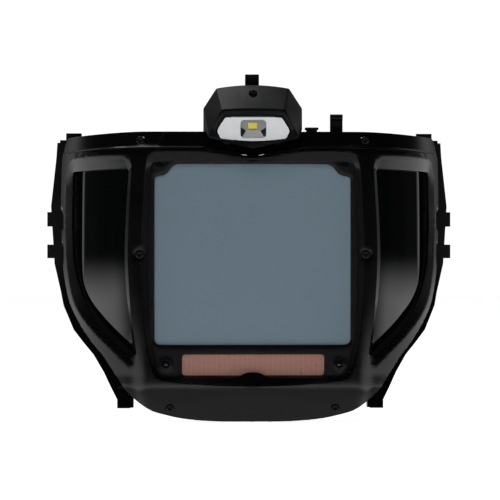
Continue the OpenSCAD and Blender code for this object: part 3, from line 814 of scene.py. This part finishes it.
def case_front(x, z):
    """Flat, with a shallow raised collar round each sensor and a bevel down to the filter."""
    d = np.full_like(x, 4.6)
    for sx, sz in SENSORS:
        r = np.hypot(x - sx, z - sz)
        d -= (0.45 if sz < 0 else 0.12) * smoothstep(3.5, 2.9, r)
    p = np.stack([x, z], -1)
    d += 0.6 * (1 - smoothstep(0.0, 1.3, distance(p, case_holes[0])))
    return d


bm = cover(case_outer, case_holes, flat, case_front, lambda x, z: np.full_like(x, 6.6), 1.2,
           rear=lambda x, z: np.full_like(x, 14.0), wall=2.0, rounding=0.25)
finish_mesh("filter_front_case_body", bm, "visor", CASE_BLACK, ("filter_front_case",), 30)

SOLAR_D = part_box("solar_panel")[0].y / MM - FACE_Y
bm = cover(spaced(round_box(*SOLAR, 2), 0.8), [spaced(round_box(SOLAR[0], SOLAR[1], SOLAR[2] - 1.1,
                                                            SOLAR[3] - 1.1, 1.6), 0.8)],
           flat, lambda x, z: np.full_like(x, SOLAR_D - 0.5), lambda x, z: np.full_like(x, SOLAR_D - 0.05), 2,
           rounding=0.1)
finish_mesh("solar_edging", bm, "visor", SOLAR_EDGE)

DOME = [(0, 4.75), (0.7, 4.8), (1.3, 5.0), (1.75, 5.4), (1.95, 6.0), (1.98, 6.6), (0, 6.6)]
DISC = [(0, 5.1), (1.75, 5.1), (1.95, 5.3), (1.98, 6.6), (0, 6.6)]
bm = joined([lathe(x, z, DOME if z < 0 else DISC, 28) for x, z in SENSORS])
finish_mesh("arc_sensors_body", bm, "visor", SENSOR_DARK, ("arc_sensors",))

# ---- side windows ----

WINDOW_LOOP = spaced(soft_corners(WINDOW, 1.5), 0.9)


def window_fall(z):
    """How much deeper the window lies low down, where the helmet draws in to the chin."""
    return 2.8 * (np.clip(-2 - z, 0, 60) / 50) ** 2 + 0.5 * (np.clip(z + 2, 0, 60) / 50) ** 2


def pane_depth(s, z):
    """The pane follows the shell, and turns in more sharply toward its outer edge."""
    along = np.abs(s) - arc_at(np.array(80.0))
    flatter = 0.003 * np.clip(along, 0, 8) ** 2 + 0.048 * np.clip(along - 8, 0, 20)
    return 3.75 + window_fall(z) - flatter + 0.03 * np.clip(np.abs(s) - arc_at(np.array(89.5)), 0, 8) ** 2


def lip(loop):
    """The window's outline pulled in where the rubber shows, with small steps beside the lugs."""
    run = np.roll(loop, -1, 0) - np.roll(loop, 1, 0)
    n = np.stack([run[:, 1], -run[:, 0]], -1)
    n /= np.linalg.norm(n, axis=1, keepdims=True)
    z = loop[:, 1]
    shown = (n[:, 0] > 0.2) & (z < 42.5)
    step = 0.5 * ((z > 13) & (z < 24)) - 0.35 * ((z > 3) & (z <= 9))
    amount = np.where(shown, 1.0 + step, -0.5)
    fade = smoothstep(-51.5, -46, z) * smoothstep(44.5, 41, z)
    amount = np.where(shown, amount * fade + 0.2, amount)
    return loop - n * amount[:, None]


for side, name in ((1, "right"), (-1, "left")):
    def there(s, z, h, side=side):
        co = wrapped(s, z, h)
        co[:, 0] *= side
        return co

    pane_outer = spaced(offset(WINDOW_ARC, 2.2), 1.6)
    bm = cover(pane_outer, [], there, pane_depth, lambda s, z: pane_depth(s, z) + 1.75, 2.0, rounding=0.3)
    finish_mesh(f"side_window_{name}_pane", bm, "visor", SIDE_TINT, (f"side_window_{name}",), 60)
    seal_hole = spaced(to_arc(lip(WINDOW_LOOP)), 1.1)
    bm = cover(spaced(offset(WINDOW_ARC, 1.9), 1.4), [seal_hole], there, lambda s, z: 2.75 + 0.0 * z,
               lambda s, z: pane_depth(s, z) - 0.07, 1.6, rounding=0.25)
    finish_mesh(f"side_seal_{name}_lip", bm, "visor", RUBBER, (f"side_seal_{name}",), 40)

# ---- headlamp ----

def crown(half_w, edge, rise):
    """Points of a gently arched top edge, from its right end to the middle."""
    return [(half_w * f, edge + rise * (1 - f * f)) for f in (1, 0.8, 0.6, 0.4, 0.2, 0)]


LAMP_BASE = both([(0, 54.2), (23.3, 59.4), (25.1, 63.2), (25.1, 74.2)] + crown(18.5, 84.4, 1.7))
LAMP_FACE = both([(0, 53.2), (22.6, 58.3)] + crown(15.7, 72.3, 0.6))
GLASS = both([(0, 56.3), (15.2, 57.6), (16.9, 58.3), (18.3, 61.3), (18.4, 62.7), (14.9, 68.4), (13.6, 69.3)])
LAMP_D = (-14.0, 12.0)
lamp_skin = 1.6


def lamp_hull(by, front, back):
    bm = bmesh.new()
    for loop, depths in ((LAMP_BASE, (2 if by == 0 else 3, back)), (LAMP_FACE, (front,))):
        loop = offset(np.array(loop, float), -by)
        for d in depths:
            for co in flat(loop[:, 0], loop[:, 1], d):
                bm.verts.new(co)
    bmesh.ops.convex_hull(bm, input=bm.verts[:])
    bmesh.ops.delete(bm, geom=[v for v in bm.verts if not v.link_faces], context="VERTS")
    bmesh.ops.dissolve_limit(bm, angle_limit=math.radians(2), verts=bm.verts, edges=bm.edges)
    return bm


bm = lamp_hull(0, LAMP_D[0], LAMP_D[1])
bmesh.ops.bevel(bm, geom=[e for e in bm.edges if e.calc_face_angle(0) > math.radians(12)],
                offset=0.7 * MM, segments=3, profile=0.6, affect="EDGES", clamp_overlap=True)
lamp = finish_mesh("lamp_housing_body", bm, "visor", LAMP_BLACK, ("lamp_housing",), 22)
glass_loop = spaced(cut_corners(GLASS, 2, 0.2), 0.8)
cutters = [
    as_cutter(lamp_hull(lamp_skin, LAMP_D[0] + 2, LAMP_D[1] + 1)),
    as_cutter(prism(offset(glass_loop, 3.3), LAMP_D[0] - 0.9, glass_loop, LAMP_D[0] + 2.4)),
    as_cutter(prism(glass_loop, LAMP_D[0] + 2.3, glass_loop, LAMP_D[0] + 5)),
    as_cutter(block(-30, 30, -0.9, LAMP_D[1] + 2, 50, TOP + 0.1, 0)),
    as_cutter(lathe(0, 81.3, [(0, LAMP_D[0]), (2.2, LAMP_D[0]), (2.2, -1.0), (0, -1.0)], 32)),
]
subtract(lamp, cutters)
lamp.data.set_sharp_from_angle(angle=math.radians(22))

inner_glass = offset(glass_loop, -0.12)
bm = prism(inner_glass, LAMP_D[0] + 2.35, inner_glass, LAMP_D[0] + 3.2)
finish_mesh("lamp_window_pane", bm, "visor", LAMP_CLEAR, ("lamp_window",), 40)


def bowl():
    """The reflector: a mirror bowl with a flat floor."""
    bm = bmesh.new()
    rings = []
    rim = offset(glass_loop, -0.5)
    n = len(rim)
    start = np.argmax(rim[:, 0])
    rim = np.roll(rim, -start, 0)
    a = np.unwrap(np.arctan2(rim[:, 1] - 64.5, rim[:, 0]))
    floor = np.stack([9.3 * np.sign(np.cos(a)) * np.abs(np.cos(a)) ** 0.5,
                      64.3 + 4.6 * np.sign(np.sin(a)) * np.abs(np.sin(a)) ** 0.5], -1)
    for f in (0, 0.12, 0.35, 0.65, 0.9, 1.0):
        depth = LAMP_D[0] + 3.5 + 6.2 * math.sin(f * math.pi / 2) ** 0.9
        loop = rim * (1 - f) + floor * f
        rings.append([bm.verts.new(c) for c in flat(loop[:, 0], loop[:, 1], depth)])
    for a_ring, b_ring in zip(rings, rings[1:]):
        for i in range(n):
            j = (i + 1) % n
            bm.faces.new((a_ring[i], a_ring[j], b_ring[j], b_ring[i]))
    bmesh.ops.solidify(bm, geom=bm.faces[:], thickness=0.6 * MM)
    return bm


finish_mesh("lamp_reflector_bowl", bowl(), "visor", MIRROR, ("lamp_reflector",), 50)
bm = cover(offset(glass_loop, -0.45), [spaced(round_box(0, 63.0, 13.0, 9.2, 1.9), 0.7)], flat,
           lambda x, z: np.full_like(x, LAMP_D[0] + 3.7), lambda x, z: np.full_like(x, LAMP_D[0] + 4.5),
           1.5, rounding=0.2)
finish_mesh("lamp_reflector_face", bm, "visor", REFLECTOR_SATIN)
ramp = [(-5.8, 58.4), (5.8, 58.4), (3.3, 62.4), (-3.6, 62.4)]
bm = joined([block(-11, 11, -4.1, -3.3, 58.9, 69.9, 0.2), prism(ramp, -8.6, ramp, -5.2)])
finish_mesh("lamp_board_body", bm, "visor", BOARD_WHITE, ("lamp_board",))
bm = joined([block(-2.5, 2.1, -5.2, -4.1, 63.4, 66.5, 0.35)])
finish_mesh("lamp_led_chip", bm, "visor", PHOSPHOR, ("lamp_led",))
# painted shadow: black wedges set beside the ramp where the reflector shows only shade
wedge = [(3.7, 62.2), (6.2, 58.6), (6.4, 64.0)]
bm = joined([prism([(s * x, z) for x, z in wedge[::s]], -8.8, [(s * x, z) for x, z in wedge[::s]], -6.5)
             for s in (1, -1)])
finish_mesh("lamp_painted_shadows", bm, "visor", BUTTON_BLACK)

# ---- screws ----


def pair(x, z):
    return [(x, z), (-x, z)]


def screw_part(x, z, head_r, shank_r, d0, d1):
    return lathe(x, z, [(0, d0 + 0.12), (head_r * 0.62, d0), (head_r * 0.9, d0 + 0.22), (head_r, d0 + 0.6),
                        (head_r, d0 + 1.5), (shank_r, d0 + 1.6), (shank_r, d1 - 0.8), (0.4 * shank_r, d1),
                        (0, d1)], 32)


def screws(node, places, head_r, shank_r, d0, d1):
    bm = joined([screw_part(x, z, head_r, shank_r, d0, d1) for x, z in places])
    piece = finish_mesh(node + "_turned", bm, "visor", SCREW_BLACK, (node,), 35)
    arm, half_w, deep = head_r * 0.58, head_r * 0.15, 0.95
    cutters = []
    for x, z in places:
        cutters.append(as_cutter(block(x - arm, x + arm, d0 - 1, d0 + deep, z - half_w, z + half_w, 0)))
        cutters.append(as_cutter(block(x - half_w, x + half_w, d0 - 1, d0 + deep, z - arm, z + arm, 0)))
    subtract(piece, cutters)
    piece.data.set_sharp_from_angle(angle=math.radians(35))


screws("side_screws", pair(*SIDE_SCREW), 2.2, 1.5, 0.7, 17.5)
screws("top_screws", pair(*TOP_SCREW), 2.1, 1.0, 1.3, 9)
screws("chin_screws", pair(*CHIN_SCREW), 2.1, 1.5, 4.6, 12.4)
screws("lamp_screw", [(0, 81.3)], 2.0, 1.2, -2.8, 12)

# ---- the controls on the back ----

CONTROL_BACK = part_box("filter_rear_case")[1].y / MM - FACE_Y


def knob(node):
    """A fluted control knob with a pointer rib and a chamfered rim."""
    low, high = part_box(node)
    x, r = (low.x + high.x) / 2 / MM, (high.x - low.x) / 2 / MM
    z = low.z / MM + r
    a = np.linspace(0, 2 * math.pi, 144, endpoint=False)
    loops = []
    profile = ((0.93, 0.0, 0.4), (1.0, 0.045, 0.8), (1.0, 0.045, 3.2), (0.9, 0.02, 4.0), (0.8, 0.0, 4.0))
    for scale, flute, d in profile:
        radius = r * (scale - flute * (0.5 + 0.5 * np.cos(a * 18)) ** 2)
        loops.append(flat(x + radius * np.cos(a), z + radius * np.sin(a), CONTROL_BACK + d))
    bm = bmesh.new()
    rings = [[bm.verts.new(c) for c in loop] for loop in loops]
    for one, two in zip(rings, rings[1:]):
        for i in range(len(one)):
            j = (i + 1) % len(one)
            bm.faces.new((one[i], one[j], two[j], two[i]))
    bm.faces.new(rings[0])
    bm.faces.new(rings[-1])
    rib = block(x - 0.7, x + 0.7, CONTROL_BACK + 3, CONTROL_BACK + 5, z - 0.5, z + r - 0.6, 0.3)
    stem = lathe(x, z, [(0, 21.2), (2, 21.2), (2, CONTROL_BACK + 1), (0, CONTROL_BACK + 1)], 24)
    finish_mesh(node + "_turned", joined([bm, rib, stem]), BODY_OF[node], CONTROL_BLACK,
                (node,), 35)


for node in ("shade_knob", "sensitivity_knob", "delay_knob"):
    knob(node)


def battery_cap(node):
    low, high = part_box(node)
    x, z, r = (low.x + high.x) / 2 / MM, (low.z + high.z) / 2 / MM, (high.x - low.x) / 2 / MM
    back = high.y / MM - FACE_Y
    bm = lathe(x, z, [(0, back - 3), (r - 0.3, back - 3), (r, back - 2.7), (r, back - 0.5), (r - 0.5, back),
                      (r * 0.86, back), (r * 0.84, back - 0.25), (r * 0.8, back - 0.25), (r * 0.78, back),
                      (0, back)], 64)
    piece = finish_mesh(node + "_turned", bm, BODY_OF[node], CONTROL_BLACK, (node,), 35)
    subtract(piece, [as_cutter(block(x - 9, x + 9, back - 1, back + 1, z - 1, z + 1, 0.3))])
    piece.data.set_sharp_from_angle(angle=math.radians(35))


battery_cap("battery_cover_left")
battery_cap("battery_cover_right")

# ---- every other part keeps its CAD shape, with its edges rounded as they are moulded ----

ROUNDED = {
    "front_cover_lens": (COVER_CLEAR, 0.15), "filter_rear_case": (CASE_BLACK, 0.4),
    "uv_ir_filter": (FILTER_GLASS, 0.1), "lcd_cell_outer": (LCD_GLASS, 0.1),
    "lcd_cell_inner": (LCD_GLASS, 0.1),
    "cell_foam": (FOAM_BLACK, 0.1), "solar_panel": (SOLAR_CELL, 0.1), "circuit_board": (BOARD_GREEN, 0.1),
    "potentiometers": (COMPONENT_BLUE, 0.25), "mode_switch": (SWITCH_METAL, 0.15),
    "test_switch": (SWITCH_METAL, 0.2), "coin_cells": (CELL_STEEL, 0.3), "grind_slider": (CONTROL_RED, 0.3),
    "test_button": (CONTROL_RED, 0.3), "inner_cover_lens": (COVER_CLEAR, 0.15),
    "cartridge_clamps": (FRAME_BLACK, 0.4), "side_retainer_left": (FRAME_BLACK, 0.3),
    "side_retainer_right": (FRAME_BLACK, 0.3), "rear_frame": (FRAME_BLACK, 0.4),
    "crown_tab": (FRAME_BLACK, 0.3),
    "lamp_rear_cover": (LAMP_BLACK, 0.4), "lamp_battery": (BATTERY_WRAP, 0.8),
    "lamp_button": (BUTTON_BLACK, 0.3),
    "lamp_switch": (SWITCH_METAL, 0.2), "release_lever": (FRAME_BLACK, 0.3), "lever_pin": (PIN_STEEL, 0.15),
    "lever_spring": (PIN_STEEL, 0.02),
}
for node, (material, width) in ROUNDED.items():
    rounded_copy(node, material, width)

# ---- camera, floor and light ----

scene = bpy.context.scene
LENS_PLANE = FACE_Y + 6
DISTANCE = 1000.0
FIELD = 255.0
eye = Vector((-27.0, LENS_PLANE - DISTANCE, 0.0)) * MM
aim = Vector((-1.3, LENS_PLANE, 2.3)) * MM
camera = bpy.data.objects.new("camera", bpy.data.cameras.new("camera"))
camera.data.sensor_width = 36
camera.data.lens = 36 * (aim - eye).length / MM / FIELD
camera.location = eye
camera.rotation_euler = (aim - eye).to_track_quat("-Z", "Y").to_euler()
scene.collection.objects.link(camera)
scene.camera = camera
scene.view_settings.view_transform = "Standard"

floor_m = Nodes("floor_white").set(Roughness=0.9, Emission_Color=(1, 1, 1, 1), Emission_Strength=0.96)
floor_m.link(floor_m.blend(floor_m.noise(3, 2), (0.3, 0.3, 0.3), (0.34, 0.34, 0.34)),
             floor_m.shader.inputs["Base Color"])
bm = bmesh.new()
bmesh.ops.create_circle(bm, cap_ends=True, radius=1.9, segments=96)
mesh = bpy.data.meshes.new("floor")
bm.to_mesh(mesh)
bm.free()
mesh.materials.append(floor_m.material)
floor = bpy.data.objects.new("floor", mesh)
floor.location = (0, 1.35, SIZE_AT_LOAD[0][2] - 0.0005)
floor.visible_glossy = False
scene.collection.objects.link(floor)


def studio_world():
    """A white backdrop and ground, dark flags at the sides and behind the camera; plain white to the eye."""
    world = bpy.data.worlds.new("studio")
    scene.world = world
    world.use_nodes = True
    tree = world.node_tree
    out, sky = tree.nodes["World Output"], tree.nodes["Background"]
    place = tree.nodes.new("ShaderNodeTexCoord")
    parts = tree.nodes.new("ShaderNodeSeparateXYZ")
    tree.links.new(place.outputs["Generated"], parts.inputs["Vector"])

    def step(source, low, high, out_low=0.0, out_high=1.0):
        node = tree.nodes.new("ShaderNodeMapRange")
        node.interpolation_type = "SMOOTHSTEP"
        for key, value in zip(("From Min", "From Max", "To Min", "To Max"), (low, high, out_low, out_high)):
            node.inputs[key].default_value = value
        tree.links.new(source, node.inputs["Value"])
        return node.outputs["Result"]

    def both_of(a, b, kind):
        node = tree.nodes.new("ShaderNodeMath")
        node.operation = kind
        tree.links.new(a, node.inputs[0])
        tree.links.new(b, node.inputs[1])
        return node.outputs[0]

    back, up = parts.outputs["Y"], parts.outputs["Z"]
    backdrop = both_of(step(back, 0.47, 0.65, 0.0, 0.40), step(back, 0.72, 0.86, 1.0, 0.25), "MULTIPLY")
    flags = step(back, -0.5, 0.5, 0.002, 0.02)
    far_ground = both_of(step(up, -0.10, 0.01, 1.12, 0.0), step(back, -0.80, -0.15), "MULTIPLY")
    near_ground = step(up, -0.32, -0.14, 1.7, 0.0)
    below = step(up, -0.52, -0.30, 0.24, 1.0)
    ground = both_of(both_of(far_ground, near_ground, "MAXIMUM"), below, "MULTIPLY")
    level = both_of(both_of(backdrop, ground, "MAXIMUM"), flags, "MAXIMUM")
    tree.links.new(level, sky.inputs["Strength"])
    sky.inputs["Color"].default_value = (1, 1, 1, 1)
    plain = tree.nodes.new("ShaderNodeBackground")
    plain.inputs["Strength"].default_value = 1.05
    plain.inputs["Color"].default_value = (1, 1, 1, 1)
    path = tree.nodes.new("ShaderNodeLightPath")
    mix = tree.nodes.new("ShaderNodeMixShader")
    tree.links.new(path.outputs["Is Camera Ray"], mix.inputs["Fac"])
    tree.links.new(sky.outputs["Background"], mix.inputs[1])
    tree.links.new(plain.outputs["Background"], mix.inputs[2])
    tree.links.new(mix.outputs["Shader"], out.inputs["Surface"])


studio_world()


def softbox(name, at, size, power, seen=True):
    """A square light aimed at the origin; seen says whether reflections show it."""
    light = bpy.data.objects.new(name, bpy.data.lights.new(name, "AREA"))
    light.data.shape = "SQUARE"
    light.data.size, light.data.energy = size, power
    light.location = at
    light.rotation_euler = (-Vector(at)).to_track_quat("-Z", "Y").to_euler()
    light.visible_glossy, light.visible_camera = seen, False
    scene.collection.objects.link(light)


softbox("softbox_top", (-0.35, 0.25, 1.2), 0.8, 4.0)
softbox("fill_rear", (0.45, 1.3, 0.9), 0.9, 9, False)
softbox("fill_front", (-0.3, -1.6, 0.7), 1.2, 16, False)
